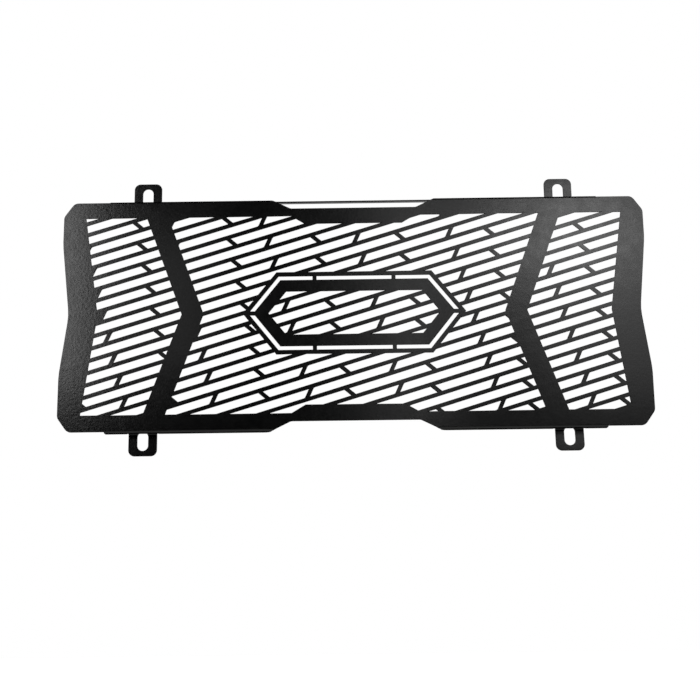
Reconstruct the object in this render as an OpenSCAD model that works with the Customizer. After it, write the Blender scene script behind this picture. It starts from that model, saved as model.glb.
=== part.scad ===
// Motorcycle radiator guard, cut and folded from one steel sheet.
// X runs along the guard, Z is up, and the face looks along -Y. The origin is the middle of
// the guard's box, so the front of the face and the backs of the tabs lie half the depth away.

/* [Sheet] */
// Thickness of the sheet
sheet_t = 1; // [0.8:0.1:1.5]
// Inside radius of every fold
bend_r = 0.6; // [0.4:0.1:1]

/* [Face] */
// Width over the side edges
guard_w = 385; // [370:1:410]
// Height over the two long folds
guard_h = 155.6; // [150:0.2:165]
// Front of the face to the back of the tabs
guard_d = 7.6; // [6.6:0.1:12]
// How far the edges at the four corners stay inside the folds
corner_drop = 0.7; // [0.2:0.1:1]
// Corner cut, measured along the long edge
corner_x = 6.8; // [4:0.1:12]
// Corner cut, measured along the side edge
corner_z = 9.6; // [5:0.1:16]
// Radius that rounds both ends of a corner cut
corner_r = 5; // [1:0.5:9]
// How far each side edge draws in at the waist
waist_depth = 5.2; // [2:0.1:9]
// Height above the waist where the side edge is back at full width
shoulder_up = 48; // [35:1:56]
// Depth below the waist where the side edge is back at full width
shoulder_down = 40; // [30:1:56]
// Radius of the soft turns in the side edge
side_r = 40; // [10:1:60]

/* [Recess in the long edges] */
// Straight length at the bottom of each recess
recess_w = 83.4; // [60:0.2:110]
// Depth of the recess below the fold
recess_depth = 6.2; // [4:0.1:8]
// Slope of the recess ends, from the long edge
recess_angle = 26; // [20:1:45]
// Radius at the foot of each slope
recess_r = 4; // [1:0.5:8]

/* [Windows] */
// Rail between a long fold and the windows
rail_h = 11.4; // [9:0.1:16]
// Rail between a recess and the middle window
mid_rail_h = 10.6; // [8:0.1:14]
// Width of the middle window's step, where it meets the full height
mid_step_w = 82.4; // [60:0.2:100]
// Slope of the step's ends
mid_step_angle = 31; // [25:1:50]
// Rail beside a side window, at the window's corners
side_rail = 14.6; // [11:0.1:20]
// Rail beside a side window, at the waist
waist_rail = 18.8; // [15:0.1:24]
// Distance between the points of the two chevron bands, at their middles
chevron_gap = 212; // [190:1:225]
// Width of a chevron band, along the guard
chevron_w = 14.1; // [10:0.1:18]
// Slope of the chevron bands
chevron_angle = 70; // [64:1:78]

/* [Slats] */
// Slope of the slats
slat_angle = 17; // [10:1:24]
// Distance from one slat to the next
slat_pitch = 7.5; // [6:0.1:11]
// Width of a slat and of a tie
bar_w = 2.4; // [1.8:0.1:3.2]
// Distance of the nearest slat from the middle of the guard
slat_shift = -0.9; // [-3:0.1:3]
// Shortest slot that is cut in a row with upright ties
fore_slot_min = 4; // [2:0.2:8]
// Shortest slot that is cut in a row with leaning ties
back_slot_min = 1.4; // [1:0.2:8]
// Radius in the wide corners of the slots between upright ties
slot_corner_r = 2; // [0.5:0.1:2.2]

/* [Ties between the slats] */
// Direction of the leaning ties, from the guard's length
back_angle = 140; // [130:1:150]
// Distance between two leaning ties in a row, near the middle of the guard
back_pitch = 55; // [45:0.2:75]
// What is added to that distance nearer the guard's ends
back_spread = 3.8; // [0:0.2:8]
// Place of a leaning tie along the middle of the guard
back_start = -14; // [-25:0.2:25]
// Shift of the leaning ties from one row to the next
back_step = 0.68; // [-2:0.02:2]
// Direction of the upright ties, from the guard's length
fore_angle = 66; // [60:1:80]
// Distance between two upright ties in a row
fore_pitch = 58.8; // [45:0.2:75]
// Place of an upright tie along the middle of the guard
fore_start = 14.8; // [-25:0.2:25]
// Shift of the upright ties from one row to the next
fore_step = 0.3; // [-2:0.02:2]
// How far every second upright tie of a row stands to the right of its even place
fore_stagger = 1.8; // [-3:0.1:3]

/* [Plain badge in the middle] */
// Length of the badge from point to point
badge_w = 146; // [110:1:160]
// Height of the badge
badge_h = 55; // [44:0.5:64]
// Length of each pointed end
badge_end = 22; // [12:0.5:30]
// Width of the line around the badge
badge_line = 2.6; // [1.8:0.1:4]
// Width of the slot inside that line
badge_slot = 2.8; // [2:0.1:4]
// Width of the band inside the slot
badge_band = 7.5; // [5:0.1:10]
// Distance between the two bridges along each long side of the badge
bridge_gap = 52; // [30:1:80]

/* [Flanges] */
// Flange end to the side edge of the guard
flange_inset = 30.5; // [22:0.5:36]
// Front of the face to the free edge of a flange
flange_d = 7; // [6:0.1:9]
// Front of the face to the strip that crosses the upper recess
strip_set = 3.8; // [2.5:0.1:4.5]
// Length of that strip, where it starts
strip_w = 108; // [90:0.5:112]
// Radius that rounds the inner ends of the lower flanges
flange_r = 5; // [2:0.5:6]

/* [Tabs] */
// Distance between the left tabs and the right tabs
tab_gap = 275.8; // [240:0.2:300]
// Width of a tab
tab_w = 18.5; // [14:0.1:24]
// Height of a tab above its fold line
tab_h = 14.4; // [12:0.1:20]
// Radius of the tab's corners
tab_r = 4; // [2:0.5:6]
// Width of the screw slot
slot_w = 7; // [5:0.1:8.5]
// Length of the screw slot, end to end
slot_l = 12.2; // [10:0.1:13]
// Metal between the screw slot and the end of the tab
slot_rim = 3.5; // [2.5:0.1:5]
// Width of the relief notch on each side of a tab
relief_w = 1; // [0.6:0.1:2]

/* [Hidden] */
$fn = 48;
// What a cutting tool runs past the metal, and what two legs of a fold share
spare = 1;
lap = 2;
// Longest step along a rounded corner, in degrees
arc_step = 12;

front_y = -guard_d / 2;
half_w = guard_w / 2;
fold_z = guard_h / 2;
bend_out = bend_r + sheet_t;
// Line where the flat face ends and a long fold begins
tangent_z = fold_z - bend_out;
corner_edge_z = fold_z - corner_drop;
recess_z = fold_z - recess_depth;
recess_x = recess_w / 2;
// Where the recess slopes reach the outside of the fold
fold_end_x = recess_x + recess_depth / tan(recess_angle);
flange_x = half_w - flange_inset;
// The rounded end of a lower flange leaves its fold as it is
end_r = min(flange_r, flange_d - bend_out - 0.2);

window_z = fold_z - rail_h;
mid_z = recess_z - mid_rail_h;
mid_x = mid_step_w / 2;
mid_foot_x = mid_x - (window_z - mid_z) / tan(mid_step_angle);
chevron_run = window_z / tan(chevron_angle);
chevron_in = (chevron_gap - chevron_w) / 2;
chevron_out = (chevron_gap + chevron_w) / 2;
window_x = half_w - side_rail;
window_waist_x = half_w - waist_depth - waist_rail;

slot_h = slat_pitch - bar_w;
// A row of slots has ties of one kind:
// [angle, pitch, start, step, spread, stagger, corner radius of the slots, shortest slot]
back_ties =
    [back_angle, back_pitch, back_start, back_step, back_spread, 0, 0, back_slot_min];
fore_ties =
    [fore_angle, fore_pitch, fore_start, fore_step, 0, fore_stagger, slot_corner_r, fore_slot_min];

tab_z = fold_z + tab_h;
slot_top_z = tab_z - slot_rim - slot_w / 2;
slot_low_z = slot_top_z - slot_l + slot_w;

// Rounded outlines
function unit(v) = v / norm(v);
function past(list, i) = list[(i + len(list)) % len(list)];

// Points of the arc of radius r that rounds the corner b between its neighbours a and c
function corner(a, b, c, r) =
    let (
        to_a = unit(a - b),
        to_c = unit(c - b),
        half = acos(to_a * to_c) / 2,
        start = to_a * r / tan(half),
        middle = unit(to_a + to_c) * r / sin(half),
        turn = (180 - 2 * half) * sign(cross(to_c, to_a)),
        steps = ceil(abs(turn) / arc_step),
        from = atan2(start.y - middle.y, start.x - middle.x)
    )
    [for (i = [0:steps])
        let (t = from + turn * i / steps)
        b + middle + r * [cos(t), sin(t)]];

// A corner is [x, z] where it stays sharp, and [x, z, r] where it is rounded
function radius(c) = len(c) > 2 ? c[2] : 0;

function rounded(corners) =
    let (flat = [for (c = corners) [c.x, c.y]])
    [for (i = [0:len(corners) - 1])
        each radius(corners[i]) > 0
            ? corner(past(flat, i - 1), flat[i], past(flat, i + 1), radius(corners[i]))
            : [flat[i]]];

// The right half of an outline from bottom to top, closed by its own mirror image
function both_sides(right) =
    concat(right, [for (i = [len(right) - 1:-1:0])
        let (c = right[i]) [-c.x, c.y, radius(c)]]);

// The face without its folds and recesses
face_outline = rounded(both_sides([
    [flange_x, -tangent_z],
    [flange_x, -corner_edge_z],
    [half_w - corner_x, -corner_edge_z, corner_r],
    [half_w, corner_z - corner_edge_z, corner_r],
    [half_w, -shoulder_down, side_r],
    [half_w - waist_depth, 0, side_r],
    [half_w, shoulder_up, side_r],
    [half_w, corner_edge_z - corner_z, corner_r],
    [half_w - corner_x, corner_edge_z, corner_r],
    [flange_x, corner_edge_z],
    [flange_x, tangent_z],
]));

mid_window = rounded(both_sides([
    [mid_foot_x, -mid_z],
    [mid_x, -window_z],
    [chevron_in + chevron_run, -window_z],
    [chevron_in, 0],
    [chevron_in + chevron_run, window_z],
    [mid_x, window_z],
    [mid_foot_x, mid_z],
]));

side_window = [
    [chevron_out, 0],
    [chevron_out + chevron_run, -window_z],
    [window_x, -window_z],
    [window_waist_x, 0],
    [window_x, window_z],
    [chevron_out + chevron_run, window_z],
];

// The badge's outline, moved inward by a distance
function badge(inset) =
    let (
        z = badge_h / 2,
        slope = norm([badge_end, z]),
        point_x = badge_w / 2 - inset * slope / z,
        shoulder_x = badge_w / 2 - badge_end - inset * (slope - badge_end) / z
    )
    [[shoulder_x, z - inset], [point_x, 0], [shoulder_x, inset - z],
     [-shoulder_x, inset - z], [-point_x, 0], [-shoulder_x, z - inset]];

// Slats
// A point of the guard as [distance along the slats, distance across them]
function along_slats(p) =
    [p.x * cos(slat_angle) + p.y * sin(slat_angle), p.y * cos(slat_angle) - p.x * sin(slat_angle)];

function row_v(row) = slat_shift + (row + 0.5) * slat_pitch;

// First and last place where a line along the slats, at distance v, crosses an outline
function span(outline, v) =
    let (
        turned = [for (p = outline) along_slats(p)],
        hits = [for (i = [0:len(turned) - 1])
            let (a = turned[i], b = past(turned, i + 1))
            if ((a.y - v) * (b.y - v) < 0) a.x + (b.x - a.x) * (v - a.y) / (b.y - a.y)]
    )
    len(hits) < 2 ? [0, 0] : [min(hits), max(hits)];

// Length of a slot from u0 to u1 that is open in a window and clear of the island in it
function open_length(u0, u1, v, window, island) =
    let (
        all = span(window, v),
        shut = len(island) > 0 ? span(island, v) : [0, 0],
        a = max(u0, all[0]),
        b = min(u1, all[1])
    )
    shut[1] > shut[0] ? max(min(b, shut[0]) - a, b - max(a, shut[1])) : b - a;

// Open length of a slot, along its middle line or along a line near either long side
function longest(u0, u1, v, window, island) =
    max([for (side = [-1:1]) open_length(u0, u1, v + side * slot_h / 4, window, island)]);

function kind(row) = row % 2 == 0 ? fore_ties : back_ties;

function tie_u(row, count) =
    let (
        ties = kind(row),
        outer = sign(count) * max(abs(count) - 1, 0),
        second = abs(count % 2)
    )
    ties[2] + count * ties[1] + row * ties[3] + outer * ties[4] + second * ties[5];

// One slot between two neighbouring ties of its row
module slot(u0, u1, v, lean, r) {
    shift = slot_h / 2 * tan(lean);
    polygon(rounded([
        [u0 - shift, v - slot_h / 2],
        [u1 - shift, v - slot_h / 2, r],
        [u1 + shift, v + slot_h / 2],
        [u0 + shift, v + slot_h / 2, r],
    ]));
}

// All the slots that a window holds, cut off at its edge and at the island in it
module slotted(window, island) {
    reach_u = max([for (p = window) abs(along_slats(p).x)]);
    reach_v = max([for (p = window) abs(along_slats(p).y)]);
    rows = ceil(reach_v / slat_pitch);
    intersection() {
        difference() {
            polygon(window);
            if (len(island) > 0)
                polygon(island);
        }
        rotate(slat_angle)
            for (row = [-rows:rows]) {
                ties = kind(row);
                lean = 90 + slat_angle - ties[0];
                half_tie = bar_w / 2 / cos(lean);
                count = ceil(reach_u / ties[1]) + 1;
                for (i = [-count:count]) {
                    u0 = tie_u(row, i) + half_tie;
                    u1 = tie_u(row, i + 1) - half_tie;
                    if (longest(u0, u1, row_v(row), window, island) >= ties[7])
                        slot(u0, u1, row_v(row), lean, ties[6]);
                }
            }
    }
}

// The slot around the badge, with the bridges that hold the badge
module badge_ring() {
    difference() {
        polygon(badge(badge_line));
        polygon(badge(badge_line + badge_slot));
        square([badge_w, bar_w], center = true);
        for (side = [-1, 1])
            translate([side * bridge_gap / 2, 0])
                square([bar_w, badge_h], center = true);
    }
}

// Stands a flat drawing of x and z upright, with its front at a depth behind the face
module upright(depth, thickness) {
    translate([0, front_y + depth + thickness, 0])
        rotate([90, 0, 0])
            linear_extrude(thickness)
                children();
}

module face() {
    upright(0, sheet_t)
        difference() {
            polygon(face_outline);
            slotted(mid_window, badge(0));
            slotted(side_window, []);
            slotted([for (p = side_window) [-p.x, p.y]], []);
            slotted(badge(badge_line + badge_slot + badge_band), []);
            badge_ring();
        }
}

// Section of a fold: one leg runs down, the other back, and the outsides lie on the axes
module fold_section(down, back) {
    translate([0, -down])
        square([sheet_t, down - bend_out]);
    translate([bend_out, -sheet_t])
        square([back - bend_out, sheet_t]);
    translate([bend_out, -bend_out])
        intersection() {
            difference() {
                circle(bend_out);
                circle(bend_r);
            }
            translate([-bend_out, 0])
                square(bend_out);
        }
}

// Runs a section of depth and height along X, from x0 to x1
module along_x(x0, x1) {
    translate([x0, front_y, 0])
        rotate([90, 0, 90])
            linear_extrude(x1 - x0)
                children();
}

// Stands a plan of x and depth upright, through the metal of a flange
module plan_cut() {
    translate([0, front_y, fold_z - bend_out - lap - spare])
        linear_extrude(bend_out + lap + 2 * spare)
            children();
}

// The recess in the upper long edge, cut through the face and as far back as the fold goes
module recess() {
    top_x = recess_x + (recess_depth + spare) / tan(recess_angle);
    upright(-spare, bend_out + spare)
        polygon(rounded(both_sides([
            [recess_x, recess_z, recess_r],
            [top_x, fold_z + spare],
        ])));
}

// Notches beside the tabs, and the room that the tabs' own folds take
module tab_reliefs() {
    fold_y = guard_d - bend_out;
    for (side = [-1, 1])
        translate([side * tab_gap / 2 - tab_w / 2 - relief_w, fold_y])
            square([tab_w + 2 * relief_w, flange_d - fold_y + spare]);
}

// A flange along the whole long edge, with the notches for its tabs
module flange_blank() {
    difference() {
        along_x(-flange_x, flange_x)
            translate([0, fold_z])
                fold_section(bend_out + lap, flange_d);
        plan_cut()
            tab_reliefs();
    }
}

// The upper flange runs on behind the recess as a narrow strip
module upper_flange() {
    difference() {
        flange_blank();
        plan_cut()
            polygon(rounded(both_sides([
                [recess_x, bend_out - spare / 2],
                [recess_x, bend_out],
                [fold_end_x, bend_out],
                [strip_w / 2, strip_set],
            ])));
    }
}

// The lower flange stops at the recess, in two rounded ends
module lower_flanges() {
    mirror([0, 0, 1])
        intersection() {
            flange_blank();
            for (side = [0, 1])
                mirror([side, 0, 0])
                    plan_cut()
                        polygon(rounded([
                            [recess_x, -spare],
                            [flange_x + spare, -spare],
                            [flange_x + spare, flange_d + spare],
                            [fold_end_x + end_r + spare, flange_d + spare],
                            [fold_end_x + end_r + spare, flange_d],
                            [fold_end_x, flange_d, end_r],
                            [fold_end_x, bend_out],
                            [recess_x, bend_out],
                        ]));
        }
}

module tab_front() {
    polygon(rounded([
        [-tab_w / 2, fold_z + bend_r],
        [tab_w / 2, fold_z + bend_r],
        [tab_w / 2, tab_z, tab_r],
        [-tab_w / 2, tab_z, tab_r],
    ]));
}

module screw_slot() {
    for (z = [slot_low_z, slot_top_z])
        translate([0, z])
            circle(slot_w / 2);
    translate([-slot_w / 2, slot_low_z])
        square([slot_w, slot_top_z - slot_low_z]);
}

// A tab turns up from the back of a flange, and its slot runs down into that fold
module tab() {
    difference() {
        union() {
            along_x(-tab_w / 2, tab_w / 2)
                translate([guard_d, fold_z - sheet_t])
                    rotate(180)
                        fold_section(bend_out + lap, bend_out + lap);
            upright(guard_d - sheet_t, sheet_t)
                tab_front();
        }
        upright(guard_d - bend_out, bend_out + spare)
            screw_slot();
    }
}

module guard() {
    color([0.07, 0.07, 0.075])
        difference() {
            union() {
                face();
                upper_flange();
                lower_flanges();
                for (side = [-1, 1], up = [0, 1])
                    translate([side * tab_gap / 2, 0, 0])
                        mirror([0, 0, up])
                            tab();
            }
            for (up = [0, 1])
                mirror([0, 0, up])
                    recess();
        }
}

guard();
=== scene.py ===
# %% [markdown]
# # A motorcycle radiator guard
#
# The real object is one sheet of steel, cut by laser, folded along its long edges and
# sprayed with satin black powder coat. It stands in front of a motorcycle's radiator.
#
# The sheet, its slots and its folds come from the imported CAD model. This lesson softens
# the cut edges, gives the coat its finish, and sets up the studio that shows it.

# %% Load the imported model
import math

import bmesh
import bpy
from mathutils import Matrix, Vector


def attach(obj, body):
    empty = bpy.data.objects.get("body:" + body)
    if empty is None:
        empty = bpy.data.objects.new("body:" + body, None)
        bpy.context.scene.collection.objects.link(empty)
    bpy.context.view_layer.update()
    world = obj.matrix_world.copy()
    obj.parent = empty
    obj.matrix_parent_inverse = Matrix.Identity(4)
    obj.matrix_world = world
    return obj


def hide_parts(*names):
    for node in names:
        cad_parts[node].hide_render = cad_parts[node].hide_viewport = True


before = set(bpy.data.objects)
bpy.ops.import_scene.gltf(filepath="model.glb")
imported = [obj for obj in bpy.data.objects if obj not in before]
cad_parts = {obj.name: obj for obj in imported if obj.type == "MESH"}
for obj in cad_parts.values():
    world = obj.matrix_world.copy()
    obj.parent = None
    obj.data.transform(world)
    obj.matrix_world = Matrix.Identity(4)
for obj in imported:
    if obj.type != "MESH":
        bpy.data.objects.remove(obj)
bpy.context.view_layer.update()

MM = 0.001

# %% [markdown]
# ## The camera
#
# The photograph was taken from a little below the guard, so the undersides of the folds
# show. A camera can be aimed by hand, by a Track To constraint, or by angles. Angles were
# chosen, because they were measured from the photograph: pitch and yaw point the lens, and
# roll levels the picture. The lens is given in millimetres for a sensor 36 mm wide.

# %% Place the camera
CAMERA_PLACE = Vector((-0.4, -785.2, -190.6)) * MM
PITCH, YAW, ROLL = (math.radians(angle) for angle in (11.939, 0.205, -0.708))
LENS = 63.18


def aimed(pitch, yaw, roll):
    """The turn that points a camera along +Y, then up by pitch and left by yaw."""
    level = Matrix.Rotation(math.pi / 2 + pitch, 4, "X")
    return Matrix.Rotation(yaw, 4, "Z") @ level @ Matrix.Rotation(roll, 4, "Z")


lens = bpy.data.cameras.new("studio_lens")
lens.lens = LENS
lens.sensor_width = 36
camera = bpy.data.objects.new("studio_camera", lens)
camera.matrix_world = Matrix.Translation(CAMERA_PLACE) @ aimed(PITCH, YAW, ROLL)
bpy.context.scene.collection.objects.link(camera)
bpy.context.scene.camera = camera
print("camera", round(CAMERA_PLACE.length / MM), "mm from the guard's middle")

# %% [markdown]
# ## The sheet
#
# On the real guard the coat flows round each cut edge and leaves it a little rounded. The
# CAD solid has sharp edges, so the sheet is copied and its edges are bevelled. The Bevel
# modifier could do that too, but it picks edges by angle alone. In mesh code the edges that
# run across the thickness can be left out, which keeps the narrow slots clean.
#
# First the copy is tidied. Doubled points are welded, and flat areas lose their needless
# edges, so that a bevel finds room beside every edge. Then all is cut into triangles again,
# because a large flat face with many corners could cross itself when its corners move.

# %% Copy and tidy the sheet
WELD = 0.002 * MM
FLAT = math.radians(0.4)

sheet = bmesh.new()
sheet.from_mesh(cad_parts["guard"].data)
bmesh.ops.remove_doubles(sheet, verts=sheet.verts, dist=WELD)
bmesh.ops.dissolve_limit(sheet, angle_limit=FLAT, verts=sheet.verts, edges=sheet.edges)
bmesh.ops.triangulate(sheet, faces=sheet.faces)
print("sheet:", len(sheet.verts), "points,", len(sheet.faces), "triangles")

# %% [markdown]
# ## The coat in the slots
#
# The coat is between one and two tenths of a millimetre thick. On slots only five
# millimetres wide that shows, because it closes them from both sides and makes the slats
# look wider. So the walls of the slots move in by the coat. The outer edges stay where they
# are, and the guard keeps its size.
#
# First each corner's move is worked out. A corner on one wall moves straight out from it.
# A corner between two walls moves along both at once, and further the sharper they meet,
# up to a limit.

# %% Work out how the slots' corners move
COAT = 0.16 * MM
SHARPEST = 0.15
SLOTS_X, SLOTS_Z, FACE_BACK = 180 * MM, 67 * MM, -2.7 * MM
SIDEWAYS, ALIKE = 0.1, 0.05


def walls_at(corner):
    """The directions that the slot walls at a corner face, each of them once."""
    found = []
    for face in corner.link_faces:
        way = face.normal
        is_wall = abs(way.y) < SIDEWAYS
        if is_wall and all((way - other).length > ALIKE for other in found):
            found.append(way.copy())
    return found


moves = {}
for corner in sheet.verts:
    x, y, z = corner.co
    at_slots = abs(x) < SLOTS_X and abs(z) < SLOTS_Z and y < FACE_BACK
    walls = walls_at(corner) if at_slots else []
    if walls:
        openness = max(1 + walls[0].dot(walls[-1]), SHARPEST)
        moves[corner] = (walls[0] + walls[-1]) * COAT / openness
print("the slots have", len(moves), "corners")

# %% [markdown]
# ## Moving the walls
#
# In a very sharp corner the move can turn a triangle over. It shows when the triangle's
# normal points another way than before, and then its corners go back to their old places.
# That can turn a neighbour, so it is looked at again until nothing is turned.

# %% Narrow the slots by the coat
SAME_WAY = 0.5

facing = {face: face.normal.copy() for face in sheet.faces}
cad_places = {corner: corner.co.copy() for corner in moves}
for corner, move in moves.items():
    corner.co += move
sheet.normal_update()
while turned := [face for face in sheet.faces if face.normal.dot(facing[face]) < SAME_WAY]:
    back = {corner for face in turned for corner in face.verts if corner in moves}
    for corner in back:
        corner.co = cad_places[corner]
        del moves[corner]
    if not back:
        break
    sheet.normal_update()
print("moved", len(moves), "of", len(cad_places), "corners of the slots")

# %% [markdown]
# ## The edges to soften
#
# The sheet is 1 mm thick. Its faces lie in a few planes: the guard's face, the tabs and the
# flanges. An edge across the thickness joins two of them, so its ends share no plane. Those
# edges stay as cut, and so do the ends of the folds, where the strips of a bend are
# narrower than a bevel. The lengths and places here are in millimetres.

# %% Choose the edges
SHARP = math.radians(30)
SKINS_Y = (-3.8, -2.8, 2.8, 3.8)
SKINS_Z = (76.8, 77.8)
NEAR, UPRIGHT = 0.004, 0.01
THINNEST, THICKEST = 0.9, 1.2
FOLD_END_X, END_REACH, FOLD_Z = 162.0, 0.4, 75.5
RECESS_FROM, RECESS_TO, BEND_BACK = 49, 56, -2


def skins(point):
    """The planes of the sheet's faces that a point lies in."""
    x, y, z = point / MM
    found = {("y", plane) for plane in SKINS_Y if abs(y - plane) < NEAR}
    return found | {("z", plane) for plane in SKINS_Z if abs(abs(z) - plane) < NEAR}


def runs_across(edge):
    """True for an edge that crosses the sheet's thickness."""
    first, second = (corner.co for corner in edge.verts)
    across = (second - first) / MM
    as_thick = THINNEST < across.length < THICKEST
    return abs(across.x) < UPRIGHT and as_thick and not skins(first) & skins(second)


def at_fold_end(edge):
    """True where a fold ends against the face, or starts beside a recess."""
    x, y, z = ((edge.verts[0].co + edge.verts[1].co) / 2) / MM
    at_ear = abs(abs(x) - FOLD_END_X) < END_REACH
    at_recess = RECESS_FROM < abs(x) < RECESS_TO and y < BEND_BACK
    return abs(z) > FOLD_Z and (at_ear or at_recess)


sharp_edges = [edge for edge in sheet.edges if edge.calc_face_angle(0) > SHARP]
cut_edges = [edge for edge in sharp_edges if not runs_across(edge) and not at_fold_end(edge)]
print("to soften:", len(cut_edges), "of", len(sharp_edges), "sharp edges")

# %% [markdown]
# ## The softened edges
#
# Two segments are enough for an edge to look round. The new faces get the second material
# slot, for the coat on the cut edges, which is painted darker as painted shade along them.
# The bevel numbers its points in a new way each time, so points and faces are put in the
# order of their places, and each run gives the same mesh.

# %% Bevel the edges and put the mesh in order
SOFTENING = 0.18 * MM
EDGE_SLOT = 1

bmesh.ops.bevel(
    sheet, geom=cut_edges, offset=SOFTENING, offset_type="OFFSET", segments=2,
    profile=0.5, affect="EDGES", material=EDGE_SLOT,
)
bmesh.ops.triangulate(sheet, faces=sheet.faces)


def put_in_order(parts, place_of):
    """Number points or faces by their places."""
    ranks = {part: rank for rank, part in enumerate(sorted(parts, key=place_of))}
    parts.sort(key=ranks.get)


put_in_order(sheet.verts, lambda corner: corner.co.to_tuple(7))
put_in_order(sheet.faces, lambda face: face.calc_center_median().to_tuple(7))
print("softened sheet:", len(sheet.verts), "points,", len(sheet.faces), "triangles")

# %% [markdown]
# ## The piece
#
# The softened sheet becomes one object that stands for the CAD node. What looks sideways in
# the face and in the tabs is a cut edge, and takes the slot of the cut edges too, with its
# painted shade. Smooth shading alone would smear light from the bevels over the flat faces.
# A Weighted Normal modifier lets the large faces decide, so they stay flat and only the bevels
# look round.

# %% Make the piece
INNER_SKIN, LOOKS_ASIDE = 2.75, 0.3

for face in sheet.faces:
    face.smooth = True
    depth = [corner.co.y / MM for corner in face.verts]
    in_face, in_tab = max(depth) < -INNER_SKIN, min(depth) > INNER_SKIN
    if (in_face or in_tab) and abs(face.normal.y) < LOOKS_ASIDE:
        face.material_index = EDGE_SLOT
guard_mesh = bpy.data.meshes.new("coated_guard")
sheet.to_mesh(guard_mesh)
sheet.free()
guard = bpy.data.objects.new("coated_guard", guard_mesh)
bpy.context.scene.collection.objects.link(guard)
flat_shading = guard.modifiers.new("flat faces stay flat", "WEIGHTED_NORMAL")
flat_shading.weight = 80
flat_shading.keep_sharp = False
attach(guard, "root")
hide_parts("guard")
print("coated_guard:", len(guard_mesh.polygons), "triangles")

# %% [markdown]
# ## The leaning tab
#
# The tabs stand parallel to the face, but the lower right one looks lighter than the lower
# left one, as a tab does that was bent a few degrees too far and tips its face up to the
# light. Its points beyond the bend are turned about the bend's end. A bone could bend it
# too, but for one fixed angle it is enough to move the points.

# %% Lean the lower right tab
TAB_LEAN = math.radians(6)
TAB_BEND = Vector((0, 3.3, -78.4)) * MM
TAB_FRONT, PAST_BEND = 2.5 * MM, 0.05 * MM

lean = (Matrix.Translation(TAB_BEND) @ Matrix.Rotation(-TAB_LEAN, 4, "X")
        @ Matrix.Translation(-TAB_BEND))
tab = [corner for corner in guard_mesh.vertices if corner.co.x > 0
       and corner.co.y > TAB_FRONT and corner.co.z < TAB_BEND.z - PAST_BEND]
for corner in tab:
    corner.co = lean @ corner.co
guard_mesh.update()
foremost = min(corner.co.y for corner in tab)
print("leaned", len(tab), "points; foremost now at y =", round(foremost / MM, 2), "mm")

# %% [markdown]
# ## The coat's texture
#
# Powder coat is sprayed on dry and melted in an oven. Its grains leave a fine texture of
# under a millimetre, and the melt flows into a soft ripple of two, known as orange peel.
# Under both, the thin sheet is never quite flat. A noise at each size makes the three. On
# this guard the left end is the roughest and the right end nearly smooth, so grain and
# peel fade along the sheet. An image texture could show this too, but noise needs no file
# and no unwrapping.
#
# The nodes are wired by a few helpers: one adds a socket, one a noise of a given size, and
# one a Math node, such as a sum or a product.

# %% Define the helpers
def add_socket(group, name, direction, value=None):
    """A float socket on a node group."""
    made = group.interface.new_socket(name=name, in_out=direction, socket_type="NodeSocketFloat")
    if value is not None:
        made.default_value = value
    return made


def noise_of(tree, place, size, detail, roughness):
    """A 3-D noise whose grains are size metres wide."""
    noise = tree.nodes.new("ShaderNodeTexNoise")
    noise.inputs["Scale"].default_value = 1 / size
    noise.inputs["Detail"].default_value = detail
    noise.inputs["Roughness"].default_value = roughness
    tree.links.new(place, noise.inputs["Vector"])
    return noise.outputs["Fac"]


def blended(tree, operation, first, second):
    """A Math node of two sockets, or of a socket and a number."""
    node = tree.nodes.new("ShaderNodeMath")
    node.operation = operation
    for slot, value in zip(node.inputs, (first, second)):
        if isinstance(value, (int, float)):
            slot.default_value = value
        else:
            tree.links.new(value, slot)
    return node.outputs[0]


print("helpers: add_socket, noise_of and blended")

# %% [markdown]
# ## One group for faces and edges
#
# The faces and the cut edges both need this texture, each in its own strength. So it is one
# node group with three weights as its inputs. It puts out a height for the bump, and a mask
# that varies the coat's shade.

# %% Build the node group of the coat
ROUGH_TO_X, SMOOTH_FROM_X, SMOOTH_SHARE = -0.17, 0.02, 0.35
GRAINS = {"Grain": (0.9 * MM, 2, 0.6), "Peel": (2.0 * MM, 2, 0.6), "Sway": (70 * MM, 0, 0.5)}
MOTTLE = (6 * MM, 3, 0.65)


def build_coat_texture():
    """Group: inputs Grain, Peel and Sway weigh the three sizes; outputs Height and Mottle."""
    group = bpy.data.node_groups.new("powder coat texture", "ShaderNodeTree")
    for name, value in (("Grain", 0.2), ("Peel", 0.5), ("Sway", 1.0)):
        add_socket(group, name, "INPUT", value)
    for name in ("Height", "Mottle"):
        add_socket(group, name, "OUTPUT")
    weights = group.nodes.new("NodeGroupInput")
    result = group.nodes.new("NodeGroupOutput")
    place = group.nodes.new("ShaderNodeTexCoord").outputs["Object"]
    heights = [blended(group, "MULTIPLY", noise_of(group, place, *facts), weights.outputs[name])
               for name, facts in GRAINS.items()]
    along = group.nodes.new("ShaderNodeSeparateXYZ")
    group.links.new(place, along.inputs[0])
    rough_end = group.nodes.new("ShaderNodeMapRange")
    rough_end.inputs["From Min"].default_value = ROUGH_TO_X
    rough_end.inputs["From Max"].default_value = SMOOTH_FROM_X
    rough_end.inputs["To Min"].default_value = 1
    rough_end.inputs["To Max"].default_value = SMOOTH_SHARE
    group.links.new(along.outputs["X"], rough_end.inputs["Value"])
    fine = blended(group, "ADD", heights[0], heights[1])
    uneven = blended(group, "MULTIPLY", fine, rough_end.outputs["Result"])
    total = blended(group, "ADD", uneven, heights[2])
    mottle = noise_of(group, place, *MOTTLE)
    group.links.new(total, result.inputs["Height"])
    group.links.new(mottle, result.inputs["Mottle"])
    return group


coat_texture = build_coat_texture()
print(coat_texture.name, "has", [item.name for item in coat_texture.interface.items_tree])

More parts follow.
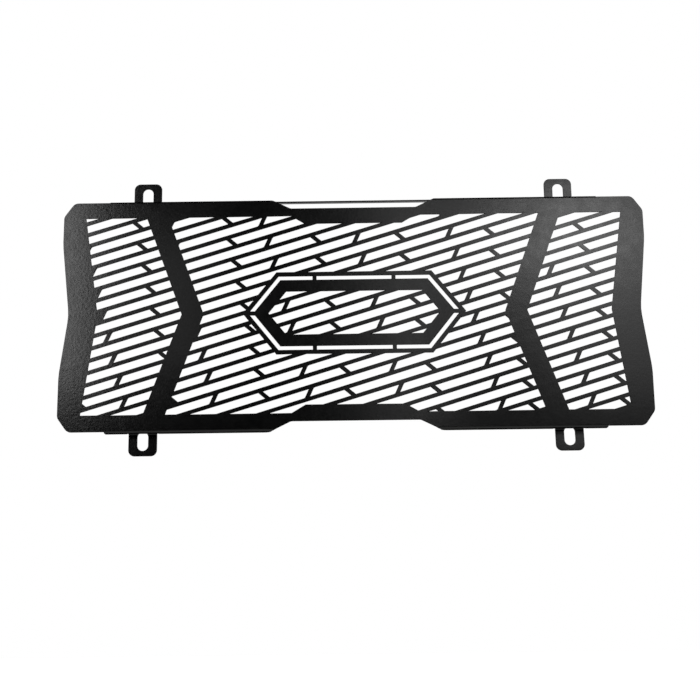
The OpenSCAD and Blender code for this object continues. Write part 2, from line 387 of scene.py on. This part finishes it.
# %% [markdown]
# ## A satin coat
#
# A coat is a Principled material with the group in it. The mask turns between two close
# shades and two close roughnesses, so the coat looks faintly mottled, as it does in the
# photograph. A noise mostly keeps to the middle of its range, so that part is spread out.
# The height goes to a Bump node, which is enough for grains this fine, because they change
# how the surface shines and not its outline.

# %% Define how a coat is made
MASK_LOW, MASK_HIGH = 0.3, 0.7
RELIEF = 0.05 * MM


def between(tree, mask, low, high):
    """The mask turned into the range from low to high."""
    span = tree.nodes.new("ShaderNodeMapRange")
    span.inputs["From Min"].default_value = MASK_LOW
    span.inputs["From Max"].default_value = MASK_HIGH
    span.inputs["To Min"].default_value = low
    span.inputs["To Max"].default_value = high
    tree.links.new(mask, span.inputs["Value"])
    return span.outputs["Result"]


def coat_material(name, shades, roughness, specular, weights):
    """A coat. shades and roughness are pairs, and weights are the group's three inputs."""
    material = bpy.data.materials.new(name)
    material.use_nodes = True
    tree = material.node_tree
    shader = tree.nodes["Principled BSDF"]
    texture = tree.nodes.new("ShaderNodeGroup")
    texture.node_tree = coat_texture
    for socket, value in weights.items():
        texture.inputs[socket].default_value = value
    mottle = texture.outputs["Mottle"]
    shade = tree.nodes.new("ShaderNodeMix")
    shade.data_type = "RGBA"
    shade.inputs["A"].default_value = (*shades[0], 1)
    shade.inputs["B"].default_value = (*shades[1], 1)
    tree.links.new(between(tree, mottle, 0, 1), shade.inputs["Factor"])
    tree.links.new(shade.outputs["Result"], shader.inputs["Base Color"])
    tree.links.new(between(tree, mottle, *roughness), shader.inputs["Roughness"])
    bump = tree.nodes.new("ShaderNodeBump")
    bump.inputs["Distance"].default_value = RELIEF
    tree.links.new(texture.outputs["Height"], bump.inputs["Height"])
    tree.links.new(bump.outputs["Normal"], shader.inputs["Normal"])
    shader.inputs["Specular IOR Level"].default_value = specular
    return material


print("helpers: between and coat_material")

# %% [markdown]
# ## The two finishes
#
# The faces are satin: a dark coat with a moderate roughness, on which the peel shows most.
# On the cut edges the coat is rougher, and it is painted darker with a weaker gloss: painted
# shade for the dark outline that shade gives the edges and slot walls.

# %% Build the materials
satin_coat = coat_material(
    "satin_powder_coat", ((0.0022, 0.0022, 0.0024), (0.0038, 0.0038, 0.0040)),
    (0.31, 0.38), 0.5, {"Grain": 0.8, "Peel": 3.0, "Sway": 4.0},
)
# Painted shade: darker shades and a weak gloss make the cut edges and slot walls look shaded.
shaded_edge_coat = coat_material(
    "cut_edge_painted_shade", ((0.0020, 0.0020, 0.0022), (0.0030, 0.0030, 0.0032)),
    (0.5, 0.6), 0.12, {"Grain": 0.16, "Peel": 0.2, "Sway": 0.0},
)
guard_mesh.materials.append(satin_coat)
guard_mesh.materials.append(shaded_edge_coat)
print("materials:", [material.name for material in guard_mesh.materials])

# %% [markdown]
# ## The studio
#
# A black sheet shows little but what it reflects. The photograph's guard reflects a narrow
# light near its left end with a faint one beside it, a tall faint one near the middle, and
# a large one at the upper right with a bright core. Area lamps give these five. A sixth
# stands behind the guard, so that its back is not lost in black when seen from there. A
# picture of the studio wrapped round the scene would do it too, but lamps can be moved and
# measured one by one.

# %% Set up the lights
def soft_light(name, place, size, radiance, side=1):
    """An area lamp facing the guard, given by its panel's radiance. side is -1 behind it."""
    lamp = bpy.data.lights.new(name, "AREA")
    lamp.shape = "RECTANGLE"
    lamp.size, lamp.size_y = size
    lamp.energy = radiance * math.pi * size[0] * size[1]
    panel = bpy.data.objects.new(name, lamp)
    aim = Matrix.Rotation(side * math.pi / 2, 4, "X")
    panel.matrix_world = Matrix.Translation(Vector(place)) @ aim
    panel.visible_camera = False
    bpy.context.scene.collection.objects.link(panel)
    print(name, "gives", round(lamp.energy, 3), "W")


soft_light("left_light", (-0.239, -0.143, 0.066), (0.052, 0.191), 5.2)
soft_light("left_fill_light", (-0.131, -0.120, 0.037), (0.042, 0.109), 0.6)
soft_light("middle_light", (0.046, -0.223, 0.107), (0.036, 0.333), 2.0)
soft_light("right_core_light", (0.192, -0.282, 0.139), (0.139, 0.063), 7.4)
soft_light("right_light", (0.331, -0.203, 0.089), (0.336, 0.234), 1.0)
soft_light("back_light", (0.20, 0.19, 0.0), (0.16, 0.10), 5.0, side=-1)

# %% [markdown]
# ## Boards and paint
#
# The cards and the floor of a studio are flat boards with matt paint. A plane could be
# added and scaled, but a board given by its four corners stands where it is meant to.

# %% Define the boards and their paint
MATT_ROUGHNESS, MATT_SPECULAR = 0.9, 0.1


def flat_board(name, corners):
    """A four-cornered board that belongs to the studio."""
    mesh = bpy.data.meshes.new(name)
    mesh.from_pydata(corners, [], [(0, 1, 2, 3)])
    board = bpy.data.objects.new(name, mesh)
    bpy.context.scene.collection.objects.link(board)
    return board


def plain_paint(name, color):
    """A matt paint for boards and cards."""
    paint = bpy.data.materials.new(name)
    paint.use_nodes = True
    shader = paint.node_tree.nodes["Principled BSDF"]
    shader.inputs["Base Color"].default_value = (*color, 1)
    shader.inputs["Roughness"].default_value = MATT_ROUGHNESS
    shader.inputs["Specular IOR Level"].default_value = MATT_SPECULAR
    return paint


print("helpers: flat_board and plain_paint")

# %% [markdown]
# ## The dark cards
#
# All else in front of the guard is dark, so dark cards keep the white surroundings out of
# the face. Two more cards stand behind, with a slit between them: the top of the fold and
# the underside of the lower flange meet the cards and stay dark, and the underside of the
# upper strip meets the slit and turns light grey. The camera sees neither lamp nor card.

# %% Set up the cards
CARD_X, CARD_FRONT, CARD_LOW, CARD_TOP = 1.1, -0.80, -0.42, 0.80
UPPER_BACK, LOWER_BACK = 0.35, 0.2
SLIT_LOW, SLIT_TOP = -0.06, 0.13
dark_paint = plain_paint("dark_card_paint", (0.01, 0.01, 0.01))


def dark_card(name, corners):
    """A black card that only reflections and light meet."""
    card = flat_board(name, corners)
    card.data.materials.append(dark_paint)
    card.visible_camera = False


dark_card("dark_card_front", [
    (-CARD_X, CARD_FRONT, CARD_LOW), (CARD_X, CARD_FRONT, CARD_LOW),
    (CARD_X, CARD_FRONT, CARD_TOP), (-CARD_X, CARD_FRONT, CARD_TOP)])
dark_card("dark_card_top", [
    (-CARD_X, CARD_FRONT, CARD_TOP), (CARD_X, CARD_FRONT, CARD_TOP),
    (CARD_X, UPPER_BACK, CARD_TOP), (-CARD_X, UPPER_BACK, CARD_TOP)])
for side, name in ((-1, "dark_card_left"), (1, "dark_card_right")):
    dark_card(name, [
        (side * CARD_X, CARD_FRONT, CARD_LOW), (side * CARD_X, 0, CARD_LOW),
        (side * CARD_X, 0, CARD_TOP), (side * CARD_X, CARD_FRONT, CARD_TOP)])
dark_card("dark_card_back_upper", [
    (-CARD_X, UPPER_BACK, SLIT_TOP), (CARD_X, UPPER_BACK, SLIT_TOP),
    (CARD_X, UPPER_BACK, CARD_TOP), (-CARD_X, UPPER_BACK, CARD_TOP)])
dark_card("dark_card_back_lower", [
    (-CARD_X, LOWER_BACK, CARD_LOW), (CARD_X, LOWER_BACK, CARD_LOW),
    (CARD_X, LOWER_BACK, SLIT_LOW), (-CARD_X, LOWER_BACK, SLIT_LOW)])
print("dark cards from", CARD_LOW, "m to", CARD_TOP, "m high")

# %% [markdown]
# ## White surroundings
#
# The photograph's background is plain white. The world shines at full strength only for
# what the camera sees, directly or in a gloss, and more softly for the light that falls on
# things. A Light Path node tells these rays apart. The Standard view leaves colours as they
# are written, so that a strength of 1 is white.

# %% Paint the world
SOFT_LEVEL = 0.6


def seen_rays(tree, extra=0.0):
    """1 for camera, glossy and transmission rays and 0 for others; extra adds for camera rays."""
    rays = tree.nodes.new("ShaderNodeLightPath").outputs
    seen = blended(tree, "MAXIMUM", rays["Is Camera Ray"], rays["Is Glossy Ray"])
    seen = blended(tree, "MAXIMUM", seen, rays["Is Transmission Ray"])
    return blended(tree, "ADD", seen, blended(tree, "MULTIPLY", rays["Is Camera Ray"], extra))


world = bpy.data.worlds.new("white_studio")
world.use_nodes = True
bpy.context.scene.world = world
sky = world.node_tree
lighting = sky.nodes["Background"]
lighting.inputs["Color"].default_value = (1, 1, 1, 1)
lighting.inputs["Strength"].default_value = SOFT_LEVEL
backdrop = sky.nodes.new("ShaderNodeBackground")
backdrop.inputs["Color"].default_value = (1, 1, 1, 1)
backdrop.inputs["Strength"].default_value = 1
choice = sky.nodes.new("ShaderNodeMixShader")
sky.links.new(seen_rays(sky), choice.inputs["Fac"])
sky.links.new(lighting.outputs[0], choice.inputs[1])
sky.links.new(backdrop.outputs[0], choice.inputs[2])
sky.links.new(choice.outputs[0], sky.nodes["World Output"].inputs["Surface"])
bpy.context.scene.view_settings.view_transform = "Standard"
print("the world lights at", SOFT_LEVEL, "and shows at", backdrop.inputs["Strength"].default_value)

# %% [markdown]
# ## The floor
#
# The floor lies well below, because the camera looks up at the hanging guard. It is pale
# paint, and the cards shade it. A weak glow for reflections, with a stronger one for what
# the camera sees, makes it nearly white, and it still takes the guard's shadow.

# %% Lay the floor
FLOOR_Z, FLOOR_REACH = -0.43, 6.0
GLOW, CAMERA_EXTRA = 0.5, 0.7

floor = flat_board("pale_floor", [
    (-FLOOR_REACH, -FLOOR_REACH, FLOOR_Z), (FLOOR_REACH, -FLOOR_REACH, FLOOR_Z),
    (FLOOR_REACH, FLOOR_REACH, FLOOR_Z), (-FLOOR_REACH, FLOOR_REACH, FLOOR_Z)])
floor_paint = plain_paint("pale_floor_paint", (0.86, 0.86, 0.86))
glow_tree = floor_paint.node_tree
glow = glow_tree.nodes["Principled BSDF"]
glow.inputs["Emission Color"].default_value = (1, 1, 1, 1)
glow_tree.links.new(
    blended(glow_tree, "MULTIPLY", seen_rays(glow_tree, CAMERA_EXTRA), GLOW),
    glow.inputs["Emission Strength"])
floor.data.materials.append(floor_paint)
print("the floor lies", -FLOOR_Z, "m below the guard's middle")
